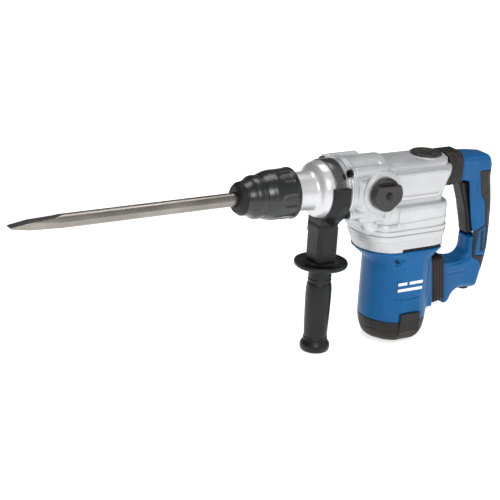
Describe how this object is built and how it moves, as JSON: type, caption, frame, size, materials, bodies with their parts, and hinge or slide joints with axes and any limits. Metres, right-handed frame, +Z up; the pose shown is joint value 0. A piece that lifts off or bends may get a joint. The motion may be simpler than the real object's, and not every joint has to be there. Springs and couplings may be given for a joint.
{
  "type": "rotary demolition hammer",
  "caption": "Corded breaker hammer with a long flat chisel, round quick chuck, swivelling side handle, upright motor and a sprung D-shaped rear handle.",
  "frame": {"origin": "on the motor's vertical axis, at the flat underside of the motor cap", "axes": "+X from the chisel towards the rear handle, +Z up along the motor's axis, -Y is the side with the mode knob"},
  "size_m": [0.7311, 0.1087, 0.275],
  "materials": {
    "cast_aluminium": "satin as-cast, fine grain",
    "machined_aluminium": "turned",
    "chisel_steel": "ground, brushed along its length",
    "steel": "ground",
    "band_steel": "dark rolled strip",
    "lamination_steel": "stacked sheet",
    "copper": "turned copper",
    "brass": "turned",
    "carbon": "matt pressed carbon",
    "black_screw": "black oxide",
    "chuck_black": "satin moulded",
    "rubber_seal": "matt",
    "bellows_rubber": "matt",
    "soft_grip_rubber": "matt, lightly grained",
    "blue_plastic": "semi-gloss moulded",
    "cap_plastic": "fine texture",
    "black_plastic": "fine texture"
  },
  "bodies": {
    "frame": {"gear_housing": "cast_aluminium", "bearing_plate": "cast_aluminium", "front_barrel": "cast_aluminium", "barrel_screw_1": "black_screw", "barrel_screw_2": "black_screw", "barrel_screw_3": "black_screw", "barrel_screw_4": "black_screw", "spindle_bearing_front": "brass", "spindle_bearing_rear": "steel", "oil_cap": "black_plastic", "oil_cap_seal": "rubber_seal", "motor_housing": "blue_plastic", "motor_cap": "cap_plastic", "housing_screw": "black_screw", "stator": "lamination_steel", "brush_left": "carbon", "brush_right": "carbon", "motor_bearing_upper": "steel", "motor_bearing_lower": "steel", "crank_bearing": "steel", "upper_bellows": "bellows_rubber", "lower_bellows": "bellows_rubber", "damper_spring_upper": "steel", "damper_spring_lower": "steel"},
    "spindle": {"spindle": "steel", "dust_cap": "rubber_seal", "chuck_spring": "steel", "lock_roller_left": "steel", "lock_roller_right": "steel"},
    "sleeve": {"chuck_sleeve": "chuck_black"},
    "tool": {"chisel": "chisel_steel"},
    "beat_piece": {"beat_piece": "steel"},
    "ram": {"ram": "steel"},
    "piston": {"piston": "machined_aluminium", "wrist_pin": "steel"},
    "con_rod": {"con_rod": "machined_aluminium"},
    "crank": {"crank_shaft": "steel", "crank_gear": "steel"},
    "intermediate": {"intermediate_shaft": "steel", "intermediate_gear": "steel"},
    "ring_gear": {"ring_gear": "steel"},
    "armature": {"armature_shaft": "steel", "armature_core": "lamination_steel", "commutator": "copper", "fan": "black_plastic"},
    "side_clamp": {"clamp_band": "band_steel", "clamp_yoke": "black_plastic", "clamp_bolt": "steel"},
    "side_grip": {"side_grip": "black_plastic", "grip_insert": "brass"},
    "mode_knob": {"mode_knob": "black_plastic"},
    "mode_button": {"mode_button": "black_plastic"},
    "rear_handle": {"handle_left": "blue_plastic", "handle_right": "blue_plastic", "soft_grip": "soft_grip_rubber", "switch_unit": "black_plastic", "trigger_pin": "steel", "cable_inlet": "black_plastic"},
    "trigger": {"trigger": "black_plastic"}
  },
  "joints": [
    {"name": "spindle_turn", "type": "hinge", "parent": "frame", "child": "spindle", "pos_m": [-0.15, 0, 0.226], "axis": [1, 0, 0], "continuous": true},
    {"name": "sleeve_slide", "type": "slide", "parent": "spindle", "child": "sleeve", "axis": [1, 0, 0], "range_m": [0, 0.009], "stiffness_N_per_m": 600, "springref_m": -0.004},
    {"name": "tool_slide", "type": "slide", "parent": "spindle", "child": "tool", "axis": [1, 0, 0], "range_m": [0, 0.01]},
    {"name": "beat_slide", "type": "slide", "parent": "frame", "child": "beat_piece", "axis": [1, 0, 0], "range_m": [-0.01, 0]},
    {"name": "ram_slide", "type": "slide", "parent": "frame", "child": "ram", "axis": [1, 0, 0], "range_m": [-0.01, 0.011]},
    {"name": "piston_slide", "type": "slide", "parent": "frame", "child": "piston", "axis": [1, 0, 0], "range_m": [0, 0.022]},
    {"name": "con_rod_swing", "type": "hinge", "parent": "piston", "child": "con_rod", "pos_m": [-0.03725, 0, 0.226], "axis": [0, 0, 1], "range_deg": [-12, 12]},
    {"name": "armature_spin", "type": "hinge", "parent": "frame", "child": "armature", "pos_m": [0, 0, 0.084], "axis": [0, 0, 1], "continuous": true},
    {"name": "crank_spin", "type": "hinge", "parent": "frame", "child": "crank", "pos_m": [0.02375, 0, 0.174], "axis": [0, 0, 1], "continuous": true},
    {"name": "intermediate_spin", "type": "hinge", "parent": "frame", "child": "intermediate", "pos_m": [-0.02375, 0, 0.174], "axis": [0, 0, 1], "continuous": true},
    {"name": "ring_gear_spin", "type": "hinge", "parent": "frame", "child": "ring_gear", "pos_m": [-0.034, 0, 0.226], "axis": [1, 0, 0], "continuous": true},
    {"name": "side_handle_swing", "type": "hinge", "parent": "frame", "child": "side_clamp", "pos_m": [-0.1287, 0, 0.226], "axis": [1, 0, 0], "continuous": true},
    {"name": "side_grip_turn", "type": "hinge", "parent": "side_clamp", "child": "side_grip", "pos_m": [-0.1287, 0, 0.064], "axis": [0, 0, 1], "continuous": true},
    {"name": "mode_turn", "type": "hinge", "parent": "frame", "child": "mode_knob", "pos_m": [-0.0685, -0.05, 0.226], "axis": [0, 1, 0], "range_deg": [-90, 90]},
    {"name": "mode_button_press", "type": "slide", "parent": "mode_knob", "child": "mode_button", "axis": [0, 1, 0], "range_m": [0, 0.002], "stiffness_N_per_m": 800, "springref_m": -0.001},
    {"name": "rear_handle_slide", "type": "slide", "parent": "frame", "child": "rear_handle", "axis": [-1, 0, 0], "range_m": [0, 0.006], "stiffness_N_per_m": 12000, "springref_m": -0.001, "deforming": ["upper_bellows", "lower_bellows", "damper_spring_upper", "damper_spring_lower"]},
    {"name": "trigger_pull", "type": "hinge", "parent": "rear_handle", "child": "trigger", "pos_m": [0.118, 0, 0.139], "axis": [0, 1, 0], "range_deg": [0, 4.5], "stiffness_Nm_per_rad": 3, "springref_deg": -2.86}
  ],
  "couplings": [
    {"joint": "crank_spin", "follows": "armature_spin", "ratio": -0.26667},
    {"joint": "intermediate_spin", "follows": "armature_spin", "ratio": -0.26667},
    {"joint": "ring_gear_spin", "follows": "armature_spin", "ratio": 0.07619}
  ]
}
